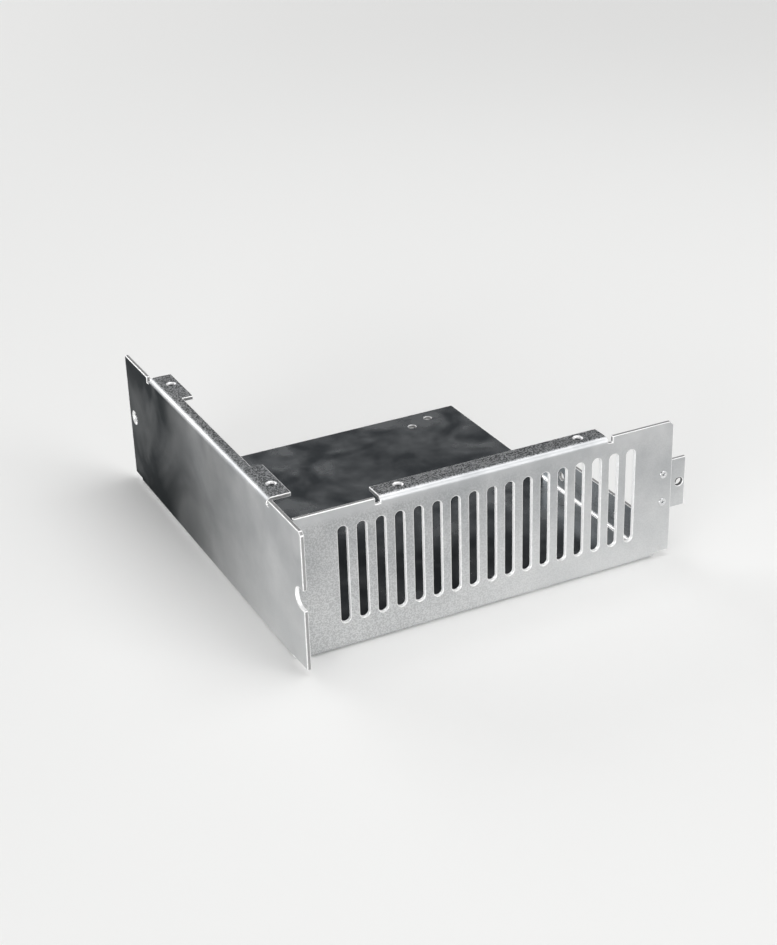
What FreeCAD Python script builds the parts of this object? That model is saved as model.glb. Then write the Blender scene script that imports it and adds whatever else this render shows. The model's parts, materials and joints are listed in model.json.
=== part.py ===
"""Open corner chassis folded from one sheet of plated steel, with a riveted mounting tab.

The sheet is a base plate with three edges folded up: a plain side wall on the left, a
slotted vent wall at the front and a low lip on the right.  Both walls end in a screw
flange folded inwards.  Millimetres, +Z up, origin at the bottom centre of the envelope.
"""
import FreeCAD, Part
import os

from FreeCAD import Vector

# Sheet and folds
SHEET = 1.5
BEND_RADIUS = 0.8
RELIEF_WIDTH = 1.8
CORNER_CUT = 1.3
CORNER_GAP = 0.4

# Walls
WALL_HEIGHT = 53.8
BASE_WIDTH = 142.4
BASE_DEPTH = 152.0
SIDE_FRONT_OVERHANG = 9.3
SIDE_REAR_OVERHANG = 6.6
FRONT_OVERHANG = 6.4

# Row of vent slots in the front wall: first and last middle from its ends, clear sheet below and above
SLOT_COUNT = 17
SLOT_WIDTH = 3.5
SLOT_FIRST = 19.0
SLOT_LAST = 17.8
SLOT_BELOW = 10.25
SLOT_ABOVE = 7.05

# Screw flange of the front wall
FRONT_FLANGE_START = 33.1
FRONT_FLANGE_LENGTH = 88.4
FRONT_FLANGE_DEPTH = 8.6

# Screw flange of the side wall: narrow, with a wide ear at each end
SIDE_FLANGE_START = 17.9
SIDE_FLANGE_LENGTH = 113.9
SIDE_FLANGE_DEPTH = 5.1
EAR_LENGTH = 24.0
EAR_DEPTH = 9.2

# Extruded screw holes: a drawn collar on the inner side, with a rounded mouth
FLANGE_HOLE_INSET = 9.2
FLANGE_HOLE_EDGE = 3.25
M3_BORE = 2.5
M5_BORE = 4.2
COLLAR_WALL = 0.7
COLLAR_HEIGHT = 1.2
MOUTH_RADIUS = 0.9
SIDE_MOUTH_RADIUS = 1.2

# Side wall openings
SIDE_HOLE_EDGE = 5.0
SIDE_OPENING_HEIGHT = 28.6
NOTCH_WIDTH = 7.5
NOTCH_DEPTH = 6.6

# Low lip on the right edge of the base
LIP_START = 8.4
LIP_LENGTH = 65.6
LIP_HEIGHT = 15.3
LIP_HOLE = 3.2
LIP_HOLE_INSET = 13.8
LIP_HOLE_HEIGHT = 7.4

# Holes near the rear corner of the base, measured from its right and rear edges
BASE_HOLE = 3.2
BASE_HOLE_PLACES = ((24.7, 10.6), (15.0, 6.4))

# Mounting tab and its two tubular rivets
TAB_WIDTH = 15.0
TAB_HEIGHT = 19.2
TAB_OVERHANG = 7.1
TAB_MIDDLE = 28.0
TAB_BORE = 3.3
TAB_HOLE_EDGE = 2.7
RIVET_EDGE = 3.6
RIVET_SPACING = 11.0
RIVET_SHANK = 2.0
RIVET_CLEARANCE = 0.05
RIVET_HEAD = 3.0
RIVET_HEAD_HEIGHT = 0.3
RIVET_TAIL_HEIGHT = 0.5
RIVET_BORE = 1.0

# Derived places
OUTER_RADIUS = BEND_RADIUS + SHEET
BEND_TOP = WALL_HEIGHT - OUTER_RADIUS
FRONT_LENGTH = BASE_WIDTH + FRONT_OVERHANG
SIDE_REAR = BASE_DEPTH + SIDE_REAR_OVERHANG
SLOT_PITCH = (FRONT_LENGTH - SLOT_FIRST - SLOT_LAST) / (SLOT_COUNT - 1)
SLOT_LENGTH = WALL_HEIGHT - SLOT_BELOW - SLOT_ABOVE
SLOT_HEIGHT = SLOT_BELOW + SLOT_LENGTH / 2
TAB_RIGHT = FRONT_LENGTH + TAB_OVERHANG
FRONT_FLANGE_END = FRONT_FLANGE_START + FRONT_FLANGE_LENGTH
SIDE_FLANGE_END = SIDE_FLANGE_START + SIDE_FLANGE_LENGTH
LIP_END = LIP_START + LIP_LENGTH
RIVET_X = FRONT_LENGTH - RIVET_EDGE
MIDDLE = Vector(-TAB_RIGHT / 2, (SIDE_FRONT_OVERHANG - SIDE_REAR) / 2, 0)

X, Y, Z = Vector(1, 0, 0), Vector(0, 1, 0), Vector(0, 0, 1)


def box(low, high):
    """Box between two opposite corners."""
    return Part.makeBox(high[0] - low[0], high[1] - low[1], high[2] - low[2], Vector(*low))


def outline(points, cut_corners=()):
    """Closed wire through points; the corners numbered in cut_corners are cut at 45 degrees."""
    corners = [Vector(*point) for point in points]
    path = []
    for number, corner in enumerate(corners):
        if number not in cut_corners:
            path.append(corner)
            continue
        for neighbour in (corners[number - 1], corners[(number + 1) % len(corners)]):
            step = neighbour.sub(corner).normalize().multiply(CORNER_CUT)
            path.append(corner.add(step))
    return Part.makePolygon(path + [path[0]])


def slot_cutter(middle, length, width, long_way, through):
    """Solid of a slot with round ends, centred on middle and cut along through by one sheet."""
    half = long_way * ((length - width) / 2)
    side = through.cross(long_way) * (width / 2)
    corners = [middle - half - side, middle + half - side, middle + half + side, middle - half + side]
    ends = [middle + half + long_way * (width / 2), middle - half - long_way * (width / 2)]
    edges = [
        Part.makeLine(corners[0], corners[1]),
        Part.Arc(corners[1], ends[0], corners[2]).toShape(),
        Part.makeLine(corners[2], corners[3]),
        Part.Arc(corners[3], ends[1], corners[0]).toShape(),
    ]
    return Part.Face(Part.Wire(edges)).extrude(through * SHEET)


def bend(start, along, length, first, second):
    """Quarter bend whose axis starts at start; first and second point out of the corner."""
    ring = Part.makeCylinder(OUTER_RADIUS, length, start, along)
    ring = ring.cut(Part.makeCylinder(BEND_RADIUS, length, start, along))
    corners = [start, start + first * OUTER_RADIUS, start + (first + second) * OUTER_RADIUS]
    corners.append(start + second * OUTER_RADIUS)
    quadrant = Part.Face(Part.makePolygon(corners + [start])).extrude(along * length)
    return ring.common(quadrant)


def plate(wire, thickness_way):
    """Flat piece of sheet inside a wire."""
    return Part.Face(wire).extrude(thickness_way * SHEET)


def base_plate():
    """Flat base, from the tangents of the side and front bends to its free edges."""
    low = OUTER_RADIUS
    points = [(low, low, 0), (BASE_WIDTH, low, 0), (BASE_WIDTH, BASE_DEPTH, 0), (low, BASE_DEPTH, 0)]
    base = plate(outline(points), Z)
    tangent = BASE_WIDTH - OUTER_RADIUS
    cut = box((tangent, LIP_START - RELIEF_WIDTH, 0), (BASE_WIDTH, LIP_END + RELIEF_WIDTH, SHEET))
    return base.cut(cut)


def right_lip():
    """Low lip folded up from the right edge of the base, with its bend."""
    axis = Vector(BASE_WIDTH - OUTER_RADIUS, LIP_START, OUTER_RADIUS)
    fold = bend(axis, Y, LIP_LENGTH, X, -Z)
    inner = BASE_WIDTH - SHEET
    points = [
        (inner, LIP_START, OUTER_RADIUS),
        (inner, LIP_END, OUTER_RADIUS),
        (inner, LIP_END, LIP_HEIGHT),
        (inner, LIP_START, LIP_HEIGHT),
    ]
    lip = plate(outline(points, (2, 3)), X)
    for place in (LIP_START + LIP_HOLE_INSET, LIP_END - LIP_HOLE_INSET):
        hole = Part.makeCylinder(LIP_HOLE / 2, SHEET, Vector(inner, place, LIP_HOLE_HEIGHT), X)
        lip = lip.cut(hole)
    return [fold, lip]


def side_wall():
    """Plain wall on the left, with its bottom bend; it overhangs the base at both ends."""
    fold = bend(Vector(OUTER_RADIUS, OUTER_RADIUS, OUTER_RADIUS), Y, BASE_DEPTH - OUTER_RADIUS, -X, -Z)
    near, far = -SIDE_FRONT_OVERHANG, SIDE_REAR
    left, right = SIDE_FLANGE_START - RELIEF_WIDTH, SIDE_FLANGE_END + RELIEF_WIDTH
    points = [
        (0, near, OUTER_RADIUS),
        (0, far, OUTER_RADIUS),
        (0, far, WALL_HEIGHT),
        (0, right, WALL_HEIGHT),
        (0, right, BEND_TOP),
        (0, left, BEND_TOP),
        (0, left, WALL_HEIGHT),
        (0, near, WALL_HEIGHT),
    ]
    wall = plate(outline(points, (7,)), X)
    notch_middle = Vector(0, near, SIDE_OPENING_HEIGHT)
    return [fold, wall.cut(slot_cutter(notch_middle, 2 * NOTCH_DEPTH, NOTCH_WIDTH, Y, X))]


def side_flange():
    """Screw flange folded inwards from the side wall: narrow, with an ear at each end."""
    length = SIDE_FLANGE_LENGTH
    fold = bend(Vector(OUTER_RADIUS, SIDE_FLANGE_START, BEND_TOP), Y, length, -X, Z)
    low = WALL_HEIGHT - SHEET
    near, far = SIDE_FLANGE_START, SIDE_FLANGE_END
    points = [
        (OUTER_RADIUS, near, low),
        (EAR_DEPTH, near, low),
        (EAR_DEPTH, near + EAR_LENGTH, low),
        (SIDE_FLANGE_DEPTH, near + EAR_LENGTH, low),
        (SIDE_FLANGE_DEPTH, far - EAR_LENGTH, low),
        (EAR_DEPTH, far - EAR_LENGTH, low),
        (EAR_DEPTH, far, low),
        (OUTER_RADIUS, far, low),
    ]
    return [fold, plate(outline(points), Z)]


def front_wall():
    """Vent wall at the front, with its bottom bend; it overhangs the base at the right."""
    fold_length = BASE_WIDTH - OUTER_RADIUS
    fold = bend(Vector(OUTER_RADIUS, OUTER_RADIUS, OUTER_RADIUS), X, fold_length, -Y, -Z)
    start = SHEET + CORNER_GAP
    left, right = FRONT_FLANGE_START - RELIEF_WIDTH, FRONT_FLANGE_END + RELIEF_WIDTH
    points = [
        (start, 0, OUTER_RADIUS),
        (FRONT_LENGTH, 0, OUTER_RADIUS),
        (FRONT_LENGTH, 0, WALL_HEIGHT),
        (right, 0, WALL_HEIGHT),
        (right, 0, BEND_TOP),
        (left, 0, BEND_TOP),
        (left, 0, WALL_HEIGHT),
        (start, 0, WALL_HEIGHT),
    ]
    wall = plate(outline(points, (2,)), Y)
    for number in range(SLOT_COUNT):
        middle = Vector(SLOT_FIRST + number * SLOT_PITCH, 0, SLOT_HEIGHT)
        wall = wall.cut(slot_cutter(middle, SLOT_LENGTH, SLOT_WIDTH, Z, Y))
    return [fold, wall]


def front_flange():
    """Screw flange folded inwards from the front wall."""
    length = FRONT_FLANGE_LENGTH
    fold = bend(Vector(FRONT_FLANGE_START, OUTER_RADIUS, BEND_TOP), X, length, -Y, Z)
    low = WALL_HEIGHT - SHEET
    points = [
        (FRONT_FLANGE_START, OUTER_RADIUS, low),
        (FRONT_FLANGE_END, OUTER_RADIUS, low),
        (FRONT_FLANGE_END, FRONT_FLANGE_DEPTH, low),
        (FRONT_FLANGE_START, FRONT_FLANGE_DEPTH, low),
    ]
    return [fold, plate(outline(points), Z)]


def extruded_hole(face_point, inward, bore, flare_radius):
    """Collar to add and core to cut for a drawn hole that starts on the outer face."""
    depth = SHEET + COLLAR_HEIGHT
    collar = Part.makeCylinder(bore / 2 + COLLAR_WALL, depth, face_point, inward)
    core = Part.makeCylinder(bore / 2, depth, face_point, inward)
    mouth = bore / 2 + flare_radius
    side = inward.cross(X if abs(inward.x) < 0.5 else Y)
    centre = face_point + side * mouth + inward * flare_radius
    rim = face_point + side * mouth
    throat = face_point + side * (bore / 2) + inward * flare_radius
    quarter = centre - (inward + side) * (flare_radius * 0.5 ** 0.5)
    edges = [
        Part.makeLine(face_point, rim),
        Part.Arc(rim, quarter, throat).toShape(),
        Part.makeLine(throat, face_point + inward * flare_radius),
        Part.makeLine(face_point + inward * flare_radius, face_point),
    ]
    flare = Part.Face(Part.Wire(edges)).revolve(face_point, inward, 360)
    return collar, core.fuse(flare)


def extruded_holes():
    """Collars and cores of the four flange screws and of the side wall screw."""
    top = WALL_HEIGHT
    front_line = FRONT_FLANGE_DEPTH - FLANGE_HOLE_EDGE
    side_line = EAR_DEPTH - FLANGE_HOLE_EDGE
    front_ends = (FRONT_FLANGE_START + FLANGE_HOLE_INSET, FRONT_FLANGE_END - FLANGE_HOLE_INSET)
    side_ends = (SIDE_FLANGE_START + FLANGE_HOLE_INSET, SIDE_FLANGE_END - FLANGE_HOLE_INSET)
    places = [Vector(place, front_line, top) for place in front_ends]
    places += [Vector(side_line, place, top) for place in side_ends]
    holes = [extruded_hole(place, -Z, M3_BORE, MOUTH_RADIUS) for place in places]
    side_screw = Vector(0, SIDE_REAR - SIDE_HOLE_EDGE, SIDE_OPENING_HEIGHT)
    holes.append(extruded_hole(side_screw, X, M5_BORE, SIDE_MOUTH_RADIUS))
    return holes


def rivet_places():
    """Centres of the two rivets on the outer face of the front wall."""
    half = RIVET_SPACING / 2
    return [Vector(RIVET_X, 0, TAB_MIDDLE + offset) for offset in (-half, half)]


def rivet_holes(sheet):
    """Drill the rivet holes through a piece that lies between the wall and the tab."""
    for place in rivet_places():
        sheet = sheet.cut(Part.makeCylinder(RIVET_SHANK / 2 + RIVET_CLEARANCE, 2 * SHEET, place, Y))
    return sheet


def folded_chassis():
    """The whole folded sheet."""
    flats = side_wall() + side_flange() + front_wall() + front_flange() + right_lip()
    holes = extruded_holes()
    sheet = base_plate().multiFuse(flats + [collar for collar, core in holes])
    for collar, core in holes:
        sheet = sheet.cut(core)
    for from_right, from_rear in BASE_HOLE_PLACES:
        place = Vector(BASE_WIDTH - from_right, BASE_DEPTH - from_rear, 0)
        sheet = sheet.cut(Part.makeCylinder(BASE_HOLE / 2, SHEET, place, Z))
    return rivet_holes(sheet).removeSplitter()


def mounting_tab():
    """Flat tab behind the right end of the front wall, with one tapped hole."""
    low = TAB_MIDDLE - TAB_HEIGHT / 2
    high = TAB_MIDDLE + TAB_HEIGHT / 2
    left = TAB_RIGHT - TAB_WIDTH
    tab = box((left, SHEET, low), (TAB_RIGHT, 2 * SHEET, high))
    place = Vector(TAB_RIGHT - TAB_HOLE_EDGE, SHEET, TAB_MIDDLE)
    tab = tab.cut(Part.makeCylinder(TAB_BORE / 2, SHEET, place, Y))
    return rivet_holes(tab)


def tab_rivets():
    """Two tubular rivets, each headed on the wall and set behind the tab."""
    rivets = []
    for place in rivet_places():
        front = place - Y * RIVET_HEAD_HEIGHT
        grip = 2 * SHEET
        total = RIVET_HEAD_HEIGHT + grip + RIVET_TAIL_HEIGHT
        head = Part.makeCylinder(RIVET_HEAD / 2, RIVET_HEAD_HEIGHT, front, Y)
        shank = Part.makeCylinder(RIVET_SHANK / 2, total, front, Y)
        tail = Part.makeCylinder(RIVET_HEAD / 2, RIVET_TAIL_HEIGHT, place + Y * grip, Y)
        rivet = head.fuse([shank, tail]).removeSplitter()
        rivets.append(rivet.cut(Part.makeCylinder(RIVET_BORE / 2, total, front, Y)))
    return Part.makeCompound(rivets)


NODES = {
    "folded_chassis": folded_chassis,
    "mounting_tab": mounting_tab,
    "tab_rivets": tab_rivets,
}

os.makedirs("parts", exist_ok=True)
for name, make in NODES.items():
    shape = make()
    shape.translate(MIDDLE)
    shape.exportStep("parts/" + name + ".step")
    limits = shape.BoundBox
    print(name, len(shape.Solids), "solid(s), valid", shape.isValid(), "volume", round(shape.Volume, 1))
    print("  x", round(limits.XMin, 2), round(limits.XMax, 2), "y", round(limits.YMin, 2), round(limits.YMax, 2))
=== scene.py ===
"""Dresses the folded corner chassis: bright cut edges, plated faces, threads and rivets.

One bracket-like chassis folded from plated steel sheet, with a riveted mounting tab.
Lengths in the property groups are metres, as the frame is.
"""

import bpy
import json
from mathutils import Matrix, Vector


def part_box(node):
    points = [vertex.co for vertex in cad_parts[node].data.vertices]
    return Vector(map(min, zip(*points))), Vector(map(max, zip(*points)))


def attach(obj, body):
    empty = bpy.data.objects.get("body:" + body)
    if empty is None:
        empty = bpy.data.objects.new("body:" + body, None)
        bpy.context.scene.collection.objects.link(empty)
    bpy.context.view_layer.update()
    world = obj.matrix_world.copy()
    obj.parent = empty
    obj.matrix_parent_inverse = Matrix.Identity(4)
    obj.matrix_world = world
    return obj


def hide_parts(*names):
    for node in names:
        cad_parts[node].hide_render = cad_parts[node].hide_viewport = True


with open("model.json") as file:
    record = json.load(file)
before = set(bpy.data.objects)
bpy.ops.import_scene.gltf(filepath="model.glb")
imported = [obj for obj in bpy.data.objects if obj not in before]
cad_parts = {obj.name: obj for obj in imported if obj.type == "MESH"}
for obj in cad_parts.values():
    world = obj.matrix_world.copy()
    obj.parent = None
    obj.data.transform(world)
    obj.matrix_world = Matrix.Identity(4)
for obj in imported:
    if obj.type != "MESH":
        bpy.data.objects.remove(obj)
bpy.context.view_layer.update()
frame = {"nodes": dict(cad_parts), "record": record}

import json
from math import pi, radians

import bmesh
import bpy
from mathutils import Matrix, Vector

bl_info = {
    "name": "Folded chassis dressing",
    "version": (1, 0, 0),
    "blender": (4, 5, 0),
    "location": "3D View > Sidebar > Chassis",
    "description": "Finishes a folded sheet metal chassis and sets it on a plain studio floor",
    "category": "Object",
}

MM = 0.001
CHASSIS = "folded_chassis"
TAB = "mounting_tab"
RIVETS = "tab_rivets"
LOW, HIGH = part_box(CHASSIS)
TAB_LOW, TAB_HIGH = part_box(TAB)
SHEET = 1.5 * MM

# Material slots of the sheet and the tab.
OUTER, INNER, CUT, RIM, MOUTH = range(5)
# An edge that turns by more than this is sharp.
SMOOTH_FOLD = radians(40)
# Points nearer than this are one, and faces within this angle are one flat face.
SAME_POINT = 0.002 * MM
SAME_FLAT = radians(0.5)
# Heights and radii that differ by less than this count as the same.
CLOSE = 0.01 * MM
# A face whose normal has this much of a direction faces that way.
FACES = 0.99
# Faces in the mouth of a drawn hole slope between these shares of its axis. They lie no
# further than this along it, and within these distances of it.
MOUTH_SLOPES = (0.05, 0.97)
MOUTH_DEPTH = 3 * MM
FLANGE_MOUTH = 2.3 * MM
SIDE_MOUTH = 3.4 * MM
# Inner face of the lip, and where its bend ends.
LIP_INSIDE = HIGH.x - 7.9 * MM
LIP_END = -0.7 * MM

# Most of a noise's values lie between these.
NOISE_CORE = (0.35, 0.65)
# Width of the drifts in the painted rear shade against that of the clouds.
DRIFT_SIZE = 2.2
# Painted shade: how bright the outline's cut faces are against the punched slots.
OUTLINE_SHADE_SHARE = 0.3
# The floor's own light grows in between these distances from the middle.
FLOOR_FADE = (0.6, 1.4)
FLOOR_FAR_LIGHT = 0.93

# Height of a thread's ridge against its pitch, and corners in one of its turns.
RIDGE_SHARE = 0.36
THREAD_STEPS = 32
# Where a thread starts on its bore's axis, from the place of the mount, and its turns.
FLANGE_THREAD = (0.1 * MM, 3)
WALL_THREAD = (-0.7 * MM, 2)
# How deep a rivet's ends are hollowed, against the radius of its shank.
HOLLOW_SHARE = 0.9
RIVET_CORNERS = 48

# Softboxes: place, what they are turned to, size in metres and watts.
LAMPS = {
    "overhead_softbox": ((0.4, -0.1, 1.25), (0.3, -0.05, 0), (1.1, 1.4), 10.5),
    "front_right_softbox": ((0.7, -1.3, 0.75), (0.05, -0.1, 0), (0.9, 1.1), 7.2),
    "left_softbox": ((-1.15, -0.8, 0.24), (0, -0.05, 0.02), (0.9, 0.4), 11),
    "back_softbox": ((-0.5, 1.4, 0.7), (0, 0, 0), (1.2, 0.7), 7.5),
}
# The room: light low down, dimmer overhead, with a dark card behind to the right.
ROOM_LOW = (0.85, 0.85, 0.85, 1.0)
ROOM_HIGH = (0.24, 0.24, 0.24, 1.0)
CARD = (0.125, 0.128, 0.132, 1.0)
CARD_TOWARD = (0.373, 0.82, 0.434)


# ---------------------------------------------------------------- settings


def length(name, description, default, low=0.0, high=1.0):
    return bpy.props.FloatProperty(
        name=name, description=description, default=default, min=low, max=high,
        precision=5, subtype="DISTANCE", unit="LENGTH",
    )


def linear(code):
    """An sRGB hex colour as linear red, green and blue."""
    parts = [int(code[i : i + 2], 16) / 255 for i in (1, 3, 5)]
    return [c / 12.92 if c <= 0.04045 else ((c + 0.055) / 1.055) ** 2.4 for c in parts]


def colour(name, description, code):
    return bpy.props.FloatVectorProperty(
        name=name, description=description, default=linear(code), size=3,
        min=0.0, max=1.0, subtype="COLOR",
    )


class SheetSettings(bpy.types.PropertyGroup):
    """The plated sheet: its edges and its finish."""

    edge_round: length("Edge rounding", "Radius worn on every cut edge", 0.3 * MM, 0, MM)
    cloud_width: length("Cloud width", "Width of the soft clouds in the plating", 20 * MM)
    grain_width: length("Grain width", "Width of the satin grain on the outer side", 0.5 * MM)
    outer_light: colour("Outer light", "Lighter plating of the outer side", "#CACBCC")
    outer_dark: colour("Outer dark", "Darker plating of the outer side", "#B4B6B8")
    # Painted light: a brighter tone painted low on the walls.
    painted_low_light_colour: colour("Painted low light", "Painted brighter tone low on the walls", "#F2F3F3")
    # Painted shade: a dark tone painted over the rear of the side wall.
    painted_rear_shade: colour("Painted rear shade", "Painted shade on the rear of the side wall", "#34393C")
    pit: colour("Grain pits", "Dark pits of the satin grain", "#4C4E50")
    inner_light: colour("Inner light", "Lighter plating of the inner side", "#BBBEC0")
    inner_dark: colour("Inner dark", "Darker plating of the inner side", "#7F8488")
    cut_steel: colour("Cut steel", "Bare steel of the punched edges", "#FCFCFC")
    # Painted highlight: near white laid along every rim and along the lip's bend.
    painted_highlight_white: colour("Painted rim highlight", "Near white painted along every rim as a highlight", "#FAFAFA")


class ThreadSettings(bpy.types.PropertyGroup):
    """The tapped threads in the screw holes."""

    fine_bore: length("Flange bore", "Bore of the flange screw holes", 2.5 * MM)
    fine_pitch: length("Flange pitch", "Thread pitch in the flange holes", 0.5 * MM)
    tab_bore: length("Tab bore", "Bore of the hole in the tab", 3.3 * MM)
    tab_pitch: length("Tab pitch", "Thread pitch in the tab", 0.7 * MM)
    side_bore: length("Side bore", "Bore of the screw hole in the side wall", 4.2 * MM)
    side_pitch: length("Side pitch", "Thread pitch in the side wall", 0.8 * MM)
    # Painted shade: the threads are painted dark, standing in for the shade inside the holes.
    steel: colour("Thread steel", "Steel of the tapped threads, painted dark as shade", "#66686A")


class RivetSettings(bpy.types.PropertyGroup):
    """The two tubular rivets that hold the tab."""

    shank: length("Shank", "Diameter of the rivet shank", 2.0 * MM)
    head_height: length("Head height", "How far the head stands off the wall", 0.3 * MM)
    head_round: length("Head rounding", "Radius round the rim of the head", 0.2 * MM)
    bore: length("Bore", "Diameter of the hollow in the shank", 1.0 * MM)
    steel: colour("Steel", "Plating of the rivets", "#E9EAEB")


class StudioSettings(bpy.types.PropertyGroup):
    """Floor, lamps and camera."""

    floor_size: length("Floor", "Edge of the square floor", 8.0, 0, 20)
    floor_colour: colour("Floor colour", "Pale matt floor", "#F1F1F0")
    camera_place: bpy.props.FloatVectorProperty(
        name="Camera place", description="Where the camera stands",
        default=(-0.26187, -0.52319, 0.31363), subtype="TRANSLATION", unit="LENGTH",
    )
    camera_turn: bpy.props.FloatProperty(
        name="Camera turn", description="Angle of the camera about the vertical",
        default=radians(-24.47), subtype="ANGLE", unit="ROTATION",
    )
    camera_tilt: bpy.props.FloatProperty(
        name="Camera tilt", description="How far the camera looks down",
        default=radians(25.73), subtype="ANGLE", unit="ROTATION",
    )
    camera_roll: bpy.props.FloatProperty(
        name="Camera roll", description="Turn of the camera about its own line of sight",
        default=radians(-2.57), subtype="ANGLE", unit="ROTATION",
    )
    focal_length: bpy.props.FloatProperty(
        name="Focal length", description="Lens, in millimetres, on a 36 mm wide sensor",
        default=79.71, min=10, max=300,
    )
    shift_across: bpy.props.FloatProperty(
        name="Shift across", description="Sideways lens shift", default=0.0599,
    )
    shift_up: bpy.props.FloatProperty(
        name="Shift up", description="Upward lens shift", default=-0.0365,
    )


# ---------------------------------------------------------------- materials


def add_node(tree, kind, inputs=(), **settings):
    """Adds one node. Inputs are values or output sockets, in order, or by name or number."""
    node = tree.nodes.new(kind)
    for name, value in settings.items():
        setattr(node, name, value)
    for key, value in inputs.items() if isinstance(inputs, dict) else enumerate(inputs):
        if isinstance(value, bpy.types.NodeSocket):
            tree.links.new(value, node.inputs[key])
        else:
            node.inputs[key].default_value = value
    return node


def new_material(name):
    material = bpy.data.materials.new(name)
    material.use_nodes = True
    material.node_tree.nodes.clear()
    return material, material.node_tree


def rgba(value):
    return (*value, 1.0)


def satin_zinc_plated_steel(settings):
    """Outer side: cold-rolled steel, zinc plated, with a fine matt roll grain.

    The eye gets a pale grey satin that glows broadly where it bends, with a fine
    sparkle close by and faint cool clouds from the passivation.
    """
    material, tree = new_material("satin_zinc_plated_steel")
    place = add_node(tree, "ShaderNodeTexCoord").outputs["Object"]
    across, along, up = add_node(tree, "ShaderNodeSeparateXYZ", (place,)).outputs
    clouds = add_node(
        tree, "ShaderNodeTexNoise",
        {"Vector": place, "Scale": 1 / settings.cloud_width, "Detail": 3.0, "Roughness": 0.55},
    ).outputs[0]
    # The real roll grain is near 0.1 mm; it is drawn as coarse as it needs to show.
    grain = add_node(
        tree, "ShaderNodeTexNoise",
        {"Vector": place, "Scale": 1 / settings.grain_width, "Detail": 2.0, "Roughness": 0.6},
    ).outputs[0]
    light = add_node(
        tree, "ShaderNodeMapRange", (clouds, *NOISE_CORE, 0.0, 1.0), clamp=True
    ).outputs[0]
    plating = add_node(
        tree, "ShaderNodeMix",
        {0: light, 6: rgba(settings.outer_dark), 7: rgba(settings.outer_light)},
        data_type="RGBA",
    ).outputs[2]
    # Painted light: the plating is painted brighter towards the bottom of the walls.
    painted_low_light_mask = add_node(
        tree, "ShaderNodeMapRange", (up, 3 * MM, 42 * MM, 0.6, 0.0), clamp=True
    ).outputs[0]
    plating = add_node(
        tree, "ShaderNodeMix",
        {0: painted_low_light_mask, 6: plating, 7: rgba(settings.painted_low_light_colour)}, data_type="RGBA",
    ).outputs[2]

    # Painted shade: the side wall is painted darker towards the open rear, in uneven drifts.
    rear = add_node(
        tree, "ShaderNodeMapRange", (along, LOW.y * 0.7, HIGH.y * 0.75, 0.0, 1.0), clamp=True
    ).outputs[0]
    drifts = add_node(
        tree, "ShaderNodeTexNoise",
        {"Vector": place, "Scale": 1 / (settings.cloud_width * DRIFT_SIZE), "Detail": 3.0,
         "Roughness": 0.55, "Distortion": 0.8},
    ).outputs[0]
    uneven = add_node(
        tree, "ShaderNodeMapRange", (drifts, *NOISE_CORE, 0.85, 1.2), clamp=True
    ).outputs[0]
    patches = add_node(
        tree, "ShaderNodeMath", (rear, uneven), operation="MULTIPLY", use_clamp=True
    ).outputs[0]
    on_side_wall = add_node(
        tree, "ShaderNodeMapRange",
        (across, LOW.x + 0.05 * MM, LOW.x + 0.3 * MM, 1.0, 0.0), clamp=True,
    ).outputs[0]
    painted_rear_shade = add_node(
        tree, "ShaderNodeMath", (patches, on_side_wall), operation="MULTIPLY"
    ).outputs[0]
    tone = add_node(
        tree, "ShaderNodeMix",
        {0: painted_rear_shade, 6: plating, 7: rgba(settings.painted_rear_shade)}, data_type="RGBA",
    ).outputs[2]

    # The grain is coarsest on the flange tops, stretched flat on the bends, faint on the
    # vent wall and fainter still on the side wall.
    tops = add_node(
        tree, "ShaderNodeMapRange",
        (up, HIGH.z - 0.35 * MM, HIGH.z - 0.05 * MM, 0.0, 1.0), clamp=True,
    ).outputs[0]
    faint = add_node(
        tree, "ShaderNodeMapRange",
        (across, LOW.x + 40 * MM, LOW.x + 110 * MM, 0.3, 0.07), clamp=True,
    ).outputs[0]
    under_bend = add_node(
        tree, "ShaderNodeMapRange",
        (up, HIGH.z - 5 * MM, HIGH.z - 2.5 * MM, 1.0, 0.0), clamp=True,
    ).outputs[0]
    below = add_node(
        tree, "ShaderNodeMath", (under_bend, faint), operation="MULTIPLY"
    ).outputs[0]
    grain_and_highlight_mask = add_node(tree, "ShaderNodeMath", (tops, below), operation="ADD").outputs[0]
    off_side_wall = add_node(
        tree, "ShaderNodeMapRange",
        (across, LOW.x + 0.3 * MM, LOW.x + 0.9 * MM, 0.1, 1.0), clamp=True,
    ).outputs[0]
    show = add_node(
        tree, "ShaderNodeMath", (grain_and_highlight_mask, off_side_wall), operation="MULTIPLY"
    ).outputs[0]
    hollows = add_node(
        tree, "ShaderNodeMapRange", (grain, 0.42, 0.58, 1.0, 0.0), clamp=True
    ).outputs[0]
    pits = add_node(tree, "ShaderNodeMath", (hollows, show), operation="MULTIPLY").outputs[0]
    tone = add_node(
        tree, "ShaderNodeMix", {0: pits, 6: tone, 7: rgba(settings.pit)}, data_type="RGBA"
    ).outputs[2]

    satin = add_node(
        tree, "ShaderNodeMapRange", (clouds, 0.3, 0.7, 0.40, 0.34), clamp=True
    ).outputs[0]
    roughness = add_node(
        tree, "ShaderNodeMath", (tops, 0.12, satin), operation="MULTIPLY_ADD"
    ).outputs[0]
    bump = add_node(
        tree, "ShaderNodeBump", {"Height": grain, "Distance": 0.05 * MM, "Strength": 0.7}
    ).outputs[0]
    # The painted rear shade also lowers the edge tint, so it stays dark at a glancing angle
    # too.
    edge_tint = add_node(
        tree, "ShaderNodeMix",
        {0: painted_rear_shade, 6: (1.0, 1.0, 1.0, 1.0), 7: (0.5, 0.5, 0.5, 1.0)}, data_type="RGBA",
    ).outputs[2]
    shader = add_node(
        tree, "ShaderNodeBsdfPrincipled",
        {"Base Color": tone, "Roughness": roughness, "Metallic": 1.0, "Normal": bump,
         "Specular Tint": edge_tint},
    )
    add_node(tree, "ShaderNodeOutputMaterial", (shader.outputs[0],))
    return material


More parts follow.
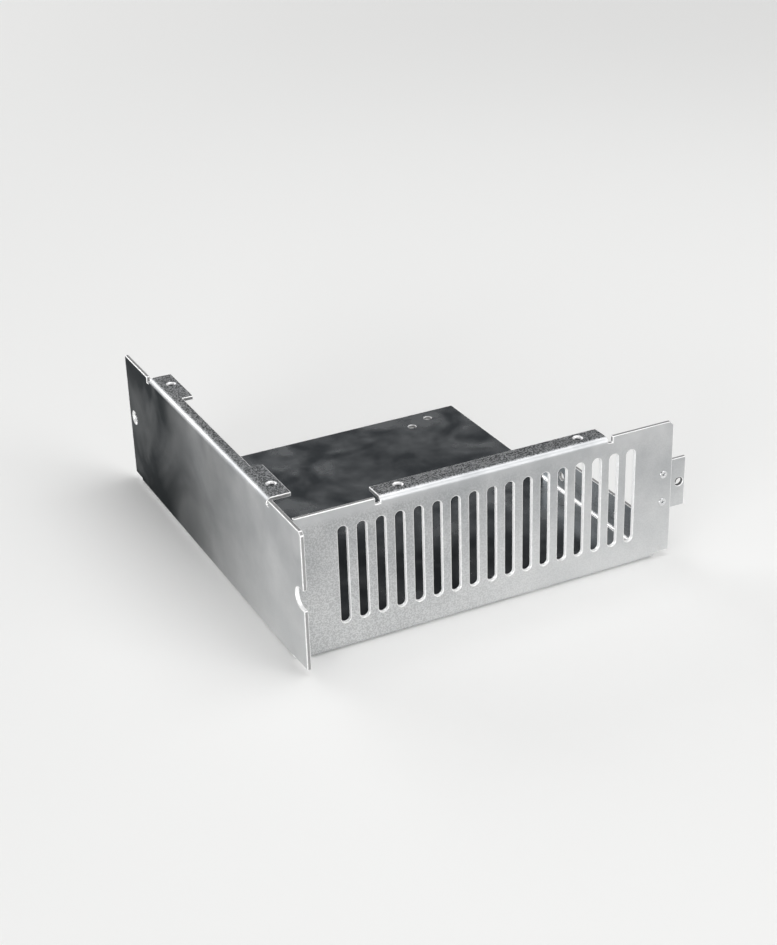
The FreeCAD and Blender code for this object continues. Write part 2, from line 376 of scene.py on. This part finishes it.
def smooth_zinc_plated_steel(settings):
    """Inner side: the same plating on the smoother side of the sheet.

    The eye gets a darker, cloudier mirror that takes up what stands round it.
    """
    material, tree = new_material("smooth_zinc_plated_steel")
    place = add_node(tree, "ShaderNodeTexCoord").outputs["Object"]
    across, along, up = add_node(tree, "ShaderNodeSeparateXYZ", (place,)).outputs
    clouds = add_node(
        tree, "ShaderNodeTexNoise",
        {"Vector": place, "Scale": 1 / (settings.cloud_width * 1.2), "Detail": 2.0,
         "Roughness": 0.55, "Distortion": 0.8},
    ).outputs[0]
    smears = add_node(
        tree, "ShaderNodeTexNoise",
        {"Vector": place, "Scale": 1 / (settings.cloud_width * 0.4), "Detail": 2.0,
         "Roughness": 0.55},
    ).outputs[0]
    mixed = add_node(
        tree, "ShaderNodeMath", (smears, 0.4, clouds), operation="MULTIPLY_ADD"
    ).outputs[0]
    light = add_node(
        tree, "ShaderNodeMapRange", (mixed, 0.55, 0.85, 0.0, 1.0), clamp=True
    ).outputs[0]
    tone = add_node(
        tree, "ShaderNodeMix",
        {0: light, 6: rgba(settings.inner_dark), 7: rgba(settings.inner_light)},
        data_type="RGBA",
    ).outputs[2]

    # Painted shade: the base is painted darker towards the folded corner.
    reach = add_node(
        tree, "ShaderNodeMath", (along, 2.0, across), operation="MULTIPLY_ADD"
    ).outputs[0]
    near_corner = add_node(
        tree, "ShaderNodeMapRange", (reach, -75 * MM, 0.0, 0.6, 0.0), clamp=True
    ).outputs[0]
    on_base = add_node(
        tree, "ShaderNodeMapRange", (up, 2 * MM, 6 * MM, 1.0, 0.0), clamp=True
    ).outputs[0]
    corner = add_node(
        tree, "ShaderNodeMath", (near_corner, on_base), operation="MULTIPLY"
    ).outputs[0]
    # The base is painted darker along the lip too, towards the front.
    near_lip = add_node(
        tree, "ShaderNodeMapRange",
        (across, LIP_INSIDE - 25 * MM, LIP_INSIDE - 5 * MM, 0.0, 0.5), clamp=True,
    ).outputs[0]
    in_front = add_node(
        tree, "ShaderNodeMapRange", (along, -10 * MM, 5 * MM, 1.0, 0.0), clamp=True
    ).outputs[0]
    lip = add_node(
        tree, "ShaderNodeMath", (near_lip, in_front), operation="MULTIPLY"
    ).outputs[0]
    painted_inner_shade = add_node(tree, "ShaderNodeMath", (corner, lip), operation="MAXIMUM").outputs[0]
    # Painted shade: the inner plating is mixed towards black in the corner and along the lip.
    tone = add_node(
        tree, "ShaderNodeMix", {0: painted_inner_shade, 6: tone, 7: (0.0, 0.0, 0.0, 1.0)}, data_type="RGBA"
    ).outputs[2]

    # Painted highlight: a bright line painted along the inside of the lip's bend.
    beside_lip = add_node(
        tree, "ShaderNodeMapRange",
        (across, LIP_INSIDE - 1.2 * MM, LIP_INSIDE - 0.8 * MM, 0.0, 1.0), clamp=True,
    ).outputs[0]
    in_bend = add_node(
        tree, "ShaderNodeMapRange", (up, 2.2 * MM, 2.6 * MM, 1.0, 0.0), clamp=True
    ).outputs[0]
    line = add_node(
        tree, "ShaderNodeMath", (beside_lip, in_bend), operation="MULTIPLY"
    ).outputs[0]
    before_end = add_node(
        tree, "ShaderNodeMapRange", (along, LIP_END - 0.3 * MM, LIP_END, 1.0, 0.0), clamp=True
    ).outputs[0]
    grain_and_highlight_mask = add_node(
        tree, "ShaderNodeMath", (line, before_end), operation="MULTIPLY"
    ).outputs[0]
    tone = add_node(
        tree, "ShaderNodeMix",
        {0: grain_and_highlight_mask, 6: tone, 7: rgba(settings.painted_highlight_white)}, data_type="RGBA",
    ).outputs[2]

    roughness = add_node(
        tree, "ShaderNodeMapRange", (mixed, 0.55, 0.9, 0.18, 0.30), clamp=True
    ).outputs[0]
    bump = add_node(
        tree, "ShaderNodeBump", {"Height": clouds, "Distance": 0.05 * MM, "Strength": 0.3}
    ).outputs[0]
    shader = add_node(
        tree, "ShaderNodeBsdfPrincipled",
        {"Base Color": tone, "Roughness": roughness, "Metallic": 1.0, "Normal": bump},
    )
    add_node(tree, "ShaderNodeOutputMaterial", (shader.outputs[0],))
    return material


def bare_steel(name, steel, width, darkest, contrast, shine, metallic):
    """Steel in flecks of that width, from darkest times its colour to its own colour.

    Contrast is the range of the noise that the tones cover, and shine the roughness at
    its low and high end. Gives back the material, its tree and the sockets to add to.
    """
    material, tree = new_material(name)
    place = add_node(tree, "ShaderNodeTexCoord").outputs["Object"]
    flecks = add_node(
        tree, "ShaderNodeTexNoise",
        {"Vector": place, "Scale": 1 / width, "Detail": 2.0, "Roughness": 0.55},
    ).outputs[0]
    light = add_node(
        tree, "ShaderNodeMapRange", (flecks, *contrast, 0.0, 1.0), clamp=True
    ).outputs[0]
    tone = add_node(
        tree, "ShaderNodeMix",
        {0: light, 6: rgba([c * darkest for c in steel]), 7: rgba(steel)}, data_type="RGBA",
    ).outputs[2]
    roughness = add_node(
        tree, "ShaderNodeMapRange", (flecks, 0.3, 0.7, *shine), clamp=True
    ).outputs[0]
    shader = add_node(
        tree, "ShaderNodeBsdfPrincipled",
        {"Base Color": tone, "Roughness": roughness, "Metallic": metallic},
    )
    add_node(tree, "ShaderNodeOutputMaterial", (shader.outputs[0],))
    return material, tree, place, tone, shader


def punched_steel_edge(settings):
    """Cut faces: bare steel, burnished and then torn by the punch, so partly matt.

    The eye gets a pale, faintly streaky band between the two bright rims of a slot, and
    a greyer one along the outline, which is painted shade.
    """
    material, tree, place, tone, shader = bare_steel(
        "punched_steel_edge", settings.cut_steel, 0.4 * MM,
        darkest=0.9, contrast=NOISE_CORE, shine=(0.28, 0.42), metallic=0.2,
    )
    # Painted shade: the cut faces at the front end, behind the tab's front face and along the
    # top are painted darker than those of the slots and the notch.
    _, along, up = add_node(tree, "ShaderNodeSeparateXYZ", (place,)).outputs
    front_end = add_node(
        tree, "ShaderNodeMapRange",
        (along, LOW.y + 0.4 * MM, LOW.y + 0.7 * MM, 1.0, 0.0), clamp=True,
    ).outputs[0]
    behind = add_node(
        tree, "ShaderNodeMapRange",
        (along, TAB_LOW.y + 0.2 * MM, TAB_LOW.y + 0.6 * MM, 0.0, 1.0), clamp=True,
    ).outputs[0]
    ends = add_node(
        tree, "ShaderNodeMath", (front_end, behind), operation="MAXIMUM"
    ).outputs[0]
    top = add_node(
        tree, "ShaderNodeMapRange",
        (up, HIGH.z - 4 * MM, HIGH.z - 2 * MM, 0.0, 1.0), clamp=True,
    ).outputs[0]
    painted_outline_shade = add_node(tree, "ShaderNodeMath", (ends, top), operation="MAXIMUM").outputs[0]
    tone = add_node(
        tree, "ShaderNodeMix",
        {0: painted_outline_shade, 6: tone, 7: rgba([c * OUTLINE_SHADE_SHARE for c in settings.cut_steel])},
        data_type="RGBA",
    ).outputs[2]
    tree.links.new(tone, shader.inputs["Base Color"])
    return material


def drawn_steel_mouth(settings):
    """Mouths of the drawn holes: steel stretched smooth over the punch.

    The eye gets a bright ring round each dark hole.
    """
    return bare_steel(
        "drawn_steel_mouth", settings.cut_steel, 0.4 * MM,
        darkest=0.8, contrast=NOISE_CORE, shine=(0.28, 0.42), metallic=0.4,
    )[0]


def painted_highlight_rim(settings):
    """Rims: steel rolled over by the punch, painted near white as a highlight along every
    edge.

    The eye gets a thin white line along every edge; fine scratches scatter part of it.
    """
    return bare_steel(
        "painted_highlight_rim", settings.painted_highlight_white, 1.2 * MM,
        darkest=0.85, contrast=NOISE_CORE, shine=(0.3, 0.42), metallic=0.4,
    )[0]


def thread_steel_painted_dark(settings):
    """Threads: tapped steel, painted dark as shade inside the bright holes."""
    return bare_steel(
        "thread_steel_painted_dark", settings.steel, 0.6 * MM,
        darkest=0.6, contrast=(0.3, 0.7), shine=(0.25, 0.4), metallic=1.0,
    )[0]


def zinc_plated_rivet_steel(settings):
    """Rivets: cold-headed steel, barrel plated, so the eye gets a soft burnished sheen."""
    return bare_steel(
        "zinc_plated_rivet_steel", settings.steel, 0.5 * MM,
        darkest=0.8, contrast=(0.3, 0.7), shine=(0.26, 0.36), metallic=1.0,
    )[0]


def matt_studio_floor(settings):
    """Floor: smooth matt board, pale and plain, that keeps the soft shadow.

    Well away from the object it shows its own plain colour, so that no lamp's pool
    of light ends in view.
    """
    material, tree = new_material("matt_studio_floor")
    board = add_node(
        tree, "ShaderNodeBsdfPrincipled",
        {"Base Color": rgba(settings.floor_colour), "Roughness": 0.9,
         "Specular IOR Level": 0.1},
    )
    place = add_node(tree, "ShaderNodeTexCoord").outputs["Object"]
    away = add_node(
        tree, "ShaderNodeVectorMath", (place,), operation="LENGTH"
    ).outputs["Value"]
    outside = add_node(
        tree, "ShaderNodeMapRange", (away, *FLOOR_FADE, 0.0, 1.0), clamp=True
    ).outputs[0]
    rays = add_node(tree, "ShaderNodeLightPath").outputs
    seen = add_node(
        tree, "ShaderNodeMath", (rays["Is Camera Ray"], rays["Is Glossy Ray"]),
        operation="MAXIMUM",
    ).outputs[0]
    far = add_node(tree, "ShaderNodeMath", (seen, outside), operation="MULTIPLY").outputs[0]
    plain = add_node(
        tree, "ShaderNodeEmission",
        {"Color": rgba(settings.floor_colour), "Strength": FLOOR_FAR_LIGHT},
    )
    floor = add_node(
        tree, "ShaderNodeMixShader", (far, board.outputs[0], plain.outputs[0])
    )
    add_node(tree, "ShaderNodeOutputMaterial", (floor.outputs[0],))
    return material


# ---------------------------------------------------------------- tools for the pieces


def deselect_all():
    if bpy.context.object and bpy.context.object.mode != "OBJECT":
        bpy.ops.object.mode_set(mode="OBJECT")
    bpy.ops.object.select_all(action="DESELECT")


def make_active(obj):
    deselect_all()
    obj.select_set(True)
    bpy.context.view_layer.objects.active = obj


def finish_piece(obj, slot, *nodes):
    """Sets the piece on the body and hides the nodes that it stands for."""
    make_active(obj)
    bpy.ops.object.transform_apply(location=True, rotation=True, scale=True)
    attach(obj, "root")
    if nodes:
        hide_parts(*nodes)


def sheet_from_node(node, name):
    """A merged copy of a sheet metal node, with its flat faces joined up again."""
    obj = frame["nodes"][node].copy()
    obj.data = frame["nodes"][node].data.copy()
    obj.name = obj.data.name = name
    obj.parent = None
    obj.matrix_world = Matrix.Identity(4)
    for key in [k for k in obj.keys() if k.startswith("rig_")]:
        del obj[key]
    bpy.context.scene.collection.objects.link(obj)
    make_active(obj)
    if obj.data.has_custom_normals:
        bpy.ops.mesh.customdata_custom_splitnormals_clear()
    bpy.ops.object.mode_set(mode="EDIT")
    bpy.ops.mesh.select_all(action="SELECT")
    bpy.ops.mesh.remove_doubles(threshold=SAME_POINT)
    bpy.ops.mesh.dissolve_limited(angle_limit=SAME_FLAT)
    bpy.ops.object.mode_set(mode="OBJECT")
    return obj


def select_faces(obj, wanted):
    """In edit mode, selects just the faces that pass a test on centre and normal."""
    mesh = bmesh.from_edit_mesh(obj.data)
    mesh.faces.ensure_lookup_table()
    bpy.ops.mesh.select_all(action="DESELECT")
    bpy.ops.mesh.select_mode(type="FACE")
    for face in mesh.faces:
        face.select_set(wanted(face.calc_center_median(), face.normal))
    bmesh.update_edit_mesh(obj.data)


def mount_places(name):
    """Where the holes of a mount are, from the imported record."""
    mount = next(m for m in frame["record"]["mounts"] if m["name"] == name)
    middle = Vector(mount["pos_m"])
    dims = mount["dims"]
    half = Vector((dims.get("spacing_x_mm", 0), dims.get("spacing_y_mm", 0), 0)) * MM / 2
    return [middle - half, middle + half] if half.length else [middle]


def lay_materials(obj, materials, slot):
    """Gives the piece its materials, with every face in one slot to begin with."""
    obj.data.materials.clear()
    for material in materials:
        obj.data.materials.append(material)
    make_active(obj)
    bpy.ops.object.mode_set(mode="EDIT")
    bpy.ops.mesh.select_all(action="SELECT")
    obj.active_material_index = slot
    bpy.ops.object.material_slot_assign()
    bpy.ops.object.mode_set(mode="OBJECT")


def paint_side(obj, slot, is_seed):
    """Gives a material slot to the side of the sheet that a seed face is part of."""
    bpy.ops.object.mode_set(mode="EDIT")
    bpy.ops.mesh.select_all(action="DESELECT")
    bpy.ops.object.mode_set(mode="OBJECT")
    seeds = [p for p in obj.data.polygons if is_seed(p)]
    if not seeds:
        raise RuntimeError(f"{obj.name}: no face of that side was found")
    seed = max(seeds, key=lambda p: p.area)
    seed.select = True
    obj.data.polygons.active = seed.index
    bpy.ops.object.mode_set(mode="EDIT")
    bpy.ops.mesh.faces_select_linked_flat(sharpness=SMOOTH_FOLD)
    obj.active_material_index = slot
    bpy.ops.object.material_slot_assign()
    bpy.ops.object.mode_set(mode="OBJECT")


def paint_mouth(obj, slot, place, axis, reach):
    """Gives a material slot to the rounded mouth of a drawn hole."""
    make_active(obj)
    bpy.ops.object.mode_set(mode="EDIT")
    upright, flat = MOUTH_SLOPES
    select_faces(
        obj,
        lambda centre, normal: (centre - place).cross(axis).length < reach
        and abs((centre - place).dot(axis)) < MOUTH_DEPTH
        and upright < abs(normal.dot(axis)) < flat,
    )
    obj.active_material_index = slot
    bpy.ops.object.material_slot_assign()
    bpy.ops.object.mode_set(mode="OBJECT")


def round_edges(obj, radius, slot):
    """Rounds every sharp edge a little, so that it catches the light."""
    make_active(obj)
    bpy.ops.object.shade_smooth_by_angle(angle=SMOOTH_FOLD)
    bevel = obj.modifiers.new("worn edges", "BEVEL")
    bevel.width = radius
    bevel.segments = 2
    bevel.limit_method = "ANGLE"
    bevel.angle_limit = SMOOTH_FOLD
    bevel.use_clamp_overlap = False
    bevel.material = slot
    bevel.harden_normals = True
    bpy.ops.object.modifier_apply(modifier=bevel.name)


def flatten_overshoot(obj, low, high):
    """Brings the points that the rounding pushed past a box back onto its faces."""
    make_active(obj)
    for limit, sign in ((low, -1), (high, 1)):
        for axis in range(3):
            past = [
                v.index for v in obj.data.vertices if (v.co[axis] - limit[axis]) * sign > 0
            ]
            if not past:
                continue
            bpy.ops.object.mode_set(mode="EDIT")
            bpy.ops.mesh.select_mode(type="VERT")
            bpy.ops.mesh.select_all(action="DESELECT")
            bpy.ops.object.mode_set(mode="OBJECT")
            for index in past:
                obj.data.vertices[index].select = True
            bpy.ops.object.mode_set(mode="EDIT")
            bpy.ops.transform.resize(
                value=[0.0 if i == axis else 1.0 for i in range(3)], center_override=limit
            )
            bpy.ops.object.mode_set(mode="OBJECT")


# ---------------------------------------------------------------- pieces


class CHASSIS_OT_sheet(bpy.types.Operator):
    """Dress the folded sheet: two plated sides, bright cut edges, worn corners with painted
    highlights
    """

    bl_idname = "chassis.dress_sheet"
    bl_label = "Folded sheet"

    def execute(self, context):
        settings = context.scene.chassis_sheet
        materials = [
            satin_zinc_plated_steel(settings), smooth_zinc_plated_steel(settings),
            punched_steel_edge(settings), painted_highlight_rim(settings),
            drawn_steel_mouth(settings),
        ]
        chassis = sheet_from_node(CHASSIS, "chassis_sheet")
        lay_materials(chassis, materials, CUT)
        paint_side(chassis, OUTER, lambda p: p.normal.y < -FACES and p.center.z < HIGH.z / 2)
        paint_side(
            chassis, INNER,
            lambda p: p.normal.z > FACES and abs(p.center.z - SHEET) < 5 * CLOSE,
        )
        for mount, axis, reach in (
            ("front_flange_screws", (0, 0, 1), FLANGE_MOUTH),
            ("side_flange_screws", (0, 0, 1), FLANGE_MOUTH),
            ("side_screw", (1, 0, 0), SIDE_MOUTH),
        ):
            for place in mount_places(mount):
                paint_mouth(chassis, MOUTH, place, Vector(axis), reach)
        round_edges(chassis, settings.edge_round, RIM)
        flatten_overshoot(chassis, LOW, HIGH)
        finish_piece(chassis, "plated_sheet", CHASSIS)

        tab = sheet_from_node(TAB, "mounting_tab_plate")
        lay_materials(tab, materials, CUT)
        paint_side(tab, OUTER, lambda p: p.normal.y < -FACES)
        paint_side(tab, INNER, lambda p: p.normal.y > FACES)
        round_edges(tab, settings.edge_round, RIM)
        finish_piece(tab, "plated_sheet", TAB)
        return {"FINISHED"}


def select_rings(obj, wanted):
    """In edit mode, selects the edges round Z whose two ends both pass a test."""
    mesh = bmesh.from_edit_mesh(obj.data)
    bpy.ops.mesh.select_all(action="DESELECT")
    bpy.ops.mesh.select_mode(type="EDGE")
    for edge in mesh.edges:
        first, second = (vert.co for vert in edge.verts)
        level = abs(first.xy.length - second.xy.length) < CLOSE
        edge.select_set(level and wanted(first) and wanted(second))
    bmesh.update_edit_mesh(obj.data)


def push_face(obj, inset, depth):
    """Insets the selected face, then pushes the inner part out along its normal."""
    bpy.ops.mesh.inset(thickness=inset, depth=0)
    bpy.ops.mesh.extrude_region_shrink_fatten(
        TRANSFORM_OT_shrink_fatten={"value": depth}
    )


def tubular_rivet(name, place, head, tail, grip, settings):
    """One rivet from its axis point on the wall, made along Z and then laid down."""
    rim = head / 2
    bpy.ops.mesh.primitive_cylinder_add(
        vertices=RIVET_CORNERS, radius=rim, depth=settings.head_height,
        location=(0, 0, settings.head_height / 2),
    )
    rivet = bpy.context.object
    rivet.name = name
    bpy.ops.object.transform_apply(location=True, rotation=True, scale=True)
    bpy.ops.object.mode_set(mode="EDIT")
    # Shank and rolled tail grow from the seat of the head.
    select_faces(rivet, lambda centre, normal: normal.z < -FACES)
    push_face(rivet, rim - settings.shank / 2, grip)
    bpy.ops.mesh.extrude_region_shrink_fatten(TRANSFORM_OT_shrink_fatten={"value": 0})
    bpy.ops.transform.resize(value=(head / settings.shank,) * 2 + (1,))
    bpy.ops.mesh.extrude_region_shrink_fatten(TRANSFORM_OT_shrink_fatten={"value": tail})
    # Both ends are hollow.
    for side in (1, -1):
        select_faces(
            rivet,
            lambda centre, normal: normal.z * side > FACES
            and centre.z * side > (-grip / 2) * side
            and centre.xy.length < CLOSE,
        )
        bpy.ops.mesh.inset(thickness=rim - settings.bore / 2, depth=0)
        bpy.ops.mesh.extrude_region_shrink_fatten(
            TRANSFORM_OT_shrink_fatten={"value": -HOLLOW_SHARE * settings.shank / 2}
        )
    ends = (settings.head_height, -grip - tail)
    select_rings(
        rivet,
        lambda co: min(abs(co.z - end) for end in ends) < CLOSE
        and co.xy.length > 0.45 * settings.bore,
    )
    bpy.ops.mesh.bevel(offset=settings.head_round, segments=3, affect="EDGES")
    bpy.ops.mesh.select_all(action="SELECT")
    bpy.ops.mesh.remove_doubles(threshold=0.001 * MM)
    bpy.ops.mesh.normals_make_consistent(inside=False)
    bpy.ops.object.mode_set(mode="OBJECT")
    bpy.ops.object.shade_smooth_by_angle(angle=SMOOTH_FOLD)
    rivet.rotation_euler = (pi / 2, 0, 0)
    rivet.location = place
    return rivet


class CHASSIS_OT_rivets(bpy.types.Operator):
    """Fit the two tubular rivets with their rounded heads and rolled tails"""

    bl_idname = "chassis.fit_rivets"
    bl_label = "Rivets"

    def execute(self, context):
        settings = context.scene.chassis_rivets
        low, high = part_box(RIVETS)
        head = high.x - low.x
        tail = high.y - TAB_HIGH.y
        grip = TAB_HIGH.y - TAB_LOW.y + SHEET
        steel = zinc_plated_rivet_steel(settings)
        rows = {"lower": low.z + head / 2, "upper": high.z - head / 2}
        for row, height in rows.items():
            deselect_all()
            place = ((low.x + high.x) / 2, TAB_LOW.y - SHEET, height)
            rivet = tubular_rivet(f"{row}_rivet", place, head, tail, grip, settings)
            rivet.data.materials.append(steel)
            finish_piece(rivet, "rivet_steel", RIVETS)
        return {"FINISHED"}


def screw_thread(name, bore, pitch, start, turns, place, axis, material):
    """A helical ridge on the wall of a bore, running in from start along axis."""
    deselect_all()
    bpy.ops.mesh.primitive_circle_add(
        vertices=3, radius=pitch * RIDGE_SHARE, rotation=(pi / 2, 0, 0),
        location=(bore / 2, 0, 0),
    )
    thread = bpy.context.object
    thread.name = name
    bpy.ops.object.transform_apply(location=True, rotation=True, scale=True)
    screw = thread.modifiers.new("thread", "SCREW")
    screw.axis = "Z"
    screw.screw_offset = pitch
    screw.iterations = turns
    screw.steps = screw.render_steps = THREAD_STEPS
    bpy.ops.object.modifier_apply(modifier=screw.name)
    bpy.ops.object.mode_set(mode="EDIT")
    bpy.ops.mesh.select_all(action="DESELECT")
    bpy.ops.mesh.select_mode(type="EDGE")
    bpy.ops.mesh.select_non_manifold()
    bpy.ops.mesh.fill()
    bpy.ops.mesh.select_all(action="SELECT")
    bpy.ops.mesh.normals_make_consistent(inside=False)
    bpy.ops.object.mode_set(mode="OBJECT")
    thread.rotation_euler = axis.to_track_quat("Z", "Y").to_euler()
    thread.location = Vector(place) + axis * start
    thread.data.materials.append(material)
    finish_piece(thread, "plated_sheet")


class CHASSIS_OT_threads(bpy.types.Operator):
    """Cut the screw threads in the drawn holes and in the tab"""

    bl_idname = "chassis.cut_threads"
    bl_label = "Threads"

    def execute(self, context):
        settings = context.scene.chassis_threads
        steel = thread_steel_painted_dark(settings)
        fine = (settings.fine_bore, settings.fine_pitch)
        tab = (settings.tab_bore, settings.tab_pitch)
        side = (settings.side_bore, settings.side_pitch)
        for name, mount, size, run, axis in (
            ("front_flange_thread", "front_flange_screws", fine, FLANGE_THREAD, (0, 0, -1)),
            ("side_flange_thread", "side_flange_screws", fine, FLANGE_THREAD, (0, 0, -1)),
            ("tab_thread", "tab_screw", tab, WALL_THREAD, (0, 1, 0)),
            ("side_thread", "side_screw", side, WALL_THREAD, (1, 0, 0)),
        ):
            for number, place in enumerate(mount_places(mount), 1):
                screw_thread(f"{name}_{number}", *size, *run, place, Vector(axis), steel)
        return {"FINISHED"}


# ---------------------------------------------------------------- stage


def area_lamp(name, place, aim, size, watts):
    bpy.ops.object.light_add(type="AREA", location=place)
    lamp = bpy.context.object
    lamp.name = name
    lamp.data.shape = "RECTANGLE"
    lamp.data.size, lamp.data.size_y = size
    lamp.data.energy = watts
    lamp.rotation_euler = (Vector(aim) - Vector(place)).to_track_quat("-Z", "Y").to_euler()
    return lamp


class CHASSIS_OT_studio(bpy.types.Operator):
    """Lay the pale floor, hang the soft lamps and set up the camera"""

    bl_idname = "chassis.studio"
    bl_label = "Studio"

    def execute(self, context):
        settings = context.scene.chassis_studio
        scene = context.scene
        deselect_all()
        bpy.ops.mesh.primitive_plane_add(size=settings.floor_size)
        floor = context.object
        floor.name = "studio_floor"
        floor.data.materials.append(matt_studio_floor(settings))

        for name, (place, aim, size, watts) in LAMPS.items():
            area_lamp(name, place, aim, size, watts)

        world = bpy.data.worlds.new("soft_studio")
        scene.world = world
        world.use_nodes = True
        tree = world.node_tree
        tree.nodes.clear()
        direction = add_node(tree, "ShaderNodeTexCoord").outputs["Generated"]
        # The flat steel mirrors the card.
        toward = add_node(
            tree, "ShaderNodeVectorMath", (direction, CARD_TOWARD), operation="DOT_PRODUCT"
        ).outputs["Value"]
        on_card = add_node(
            tree, "ShaderNodeMapRange", (toward, 0.7, 0.9, 0.0, 1.0), clamp=True
        ).outputs[0]
        dome = add_node(
            tree, "ShaderNodeMix", {0: on_card, 6: ROOM_HIGH, 7: CARD}, data_type="RGBA"
        ).outputs[2]
        height = add_node(tree, "ShaderNodeSeparateXYZ", (direction,)).outputs[2]
        level = add_node(
            tree, "ShaderNodeMapRange", (height, 0.1, 0.3, 0.0, 1.0), clamp=True
        ).outputs[0]
        room = add_node(
            tree, "ShaderNodeMix", {0: level, 6: ROOM_LOW, 7: dome}, data_type="RGBA"
        ).outputs[2]
        background = add_node(tree, "ShaderNodeBackground", {"Color": room, "Strength": 1.0})
        add_node(tree, "ShaderNodeOutputWorld", (background.outputs[0],))

        bpy.ops.object.camera_add()
        camera = context.object
        camera.name = "studio_camera"
        camera.matrix_world = (
            Matrix.Translation(settings.camera_place)
            @ Matrix.Rotation(settings.camera_turn, 4, "Z")
            @ Matrix.Rotation(pi / 2 - settings.camera_tilt, 4, "X")
            @ Matrix.Rotation(settings.camera_roll, 4, "Z")
        )
        camera.data.sensor_fit = "HORIZONTAL"
        camera.data.sensor_width = 36.0
        camera.data.lens = settings.focal_length
        camera.data.shift_x = settings.shift_across
        camera.data.shift_y = settings.shift_up
        camera.data.clip_start = 0.01
        scene.camera = camera
        scene.view_settings.view_transform = "Standard"
        return {"FINISHED"}


# ---------------------------------------------------------------- sidebar


STEPS = (CHASSIS_OT_sheet, CHASSIS_OT_threads, CHASSIS_OT_rivets, CHASSIS_OT_studio)


class CHASSIS_PT_sidebar(bpy.types.Panel):
    bl_label = "Folded chassis"
    bl_space_type = "VIEW_3D"
    bl_region_type = "UI"
    bl_category = "Chassis"

    def draw(self, context):
        for step in STEPS:
            self.layout.operator(step.bl_idname)
        for name in SETTINGS:
            box = self.layout.box()
            group = getattr(context.scene, name)
            for key in group.__annotations__:
                box.prop(group, key)


SETTINGS = {
    "chassis_sheet": SheetSettings,
    "chassis_threads": ThreadSettings,
    "chassis_rivets": RivetSettings,
    "chassis_studio": StudioSettings,
}


def register():
    for cls in (*SETTINGS.values(), *STEPS, CHASSIS_PT_sidebar):
        bpy.utils.register_class(cls)
    for name, group in SETTINGS.items():
        setattr(bpy.types.Scene, name, bpy.props.PointerProperty(type=group))


def unregister():
    for name in SETTINGS:
        delattr(bpy.types.Scene, name)
    for cls in reversed((*SETTINGS.values(), *STEPS, CHASSIS_PT_sidebar)):
        bpy.utils.unregister_class(cls)


def main():
    register()
    bpy.ops.chassis.dress_sheet()
    bpy.ops.chassis.cut_threads()
    bpy.ops.chassis.fit_rivets()
    bpy.ops.chassis.studio()


if __name__ == "__main__":
    main()
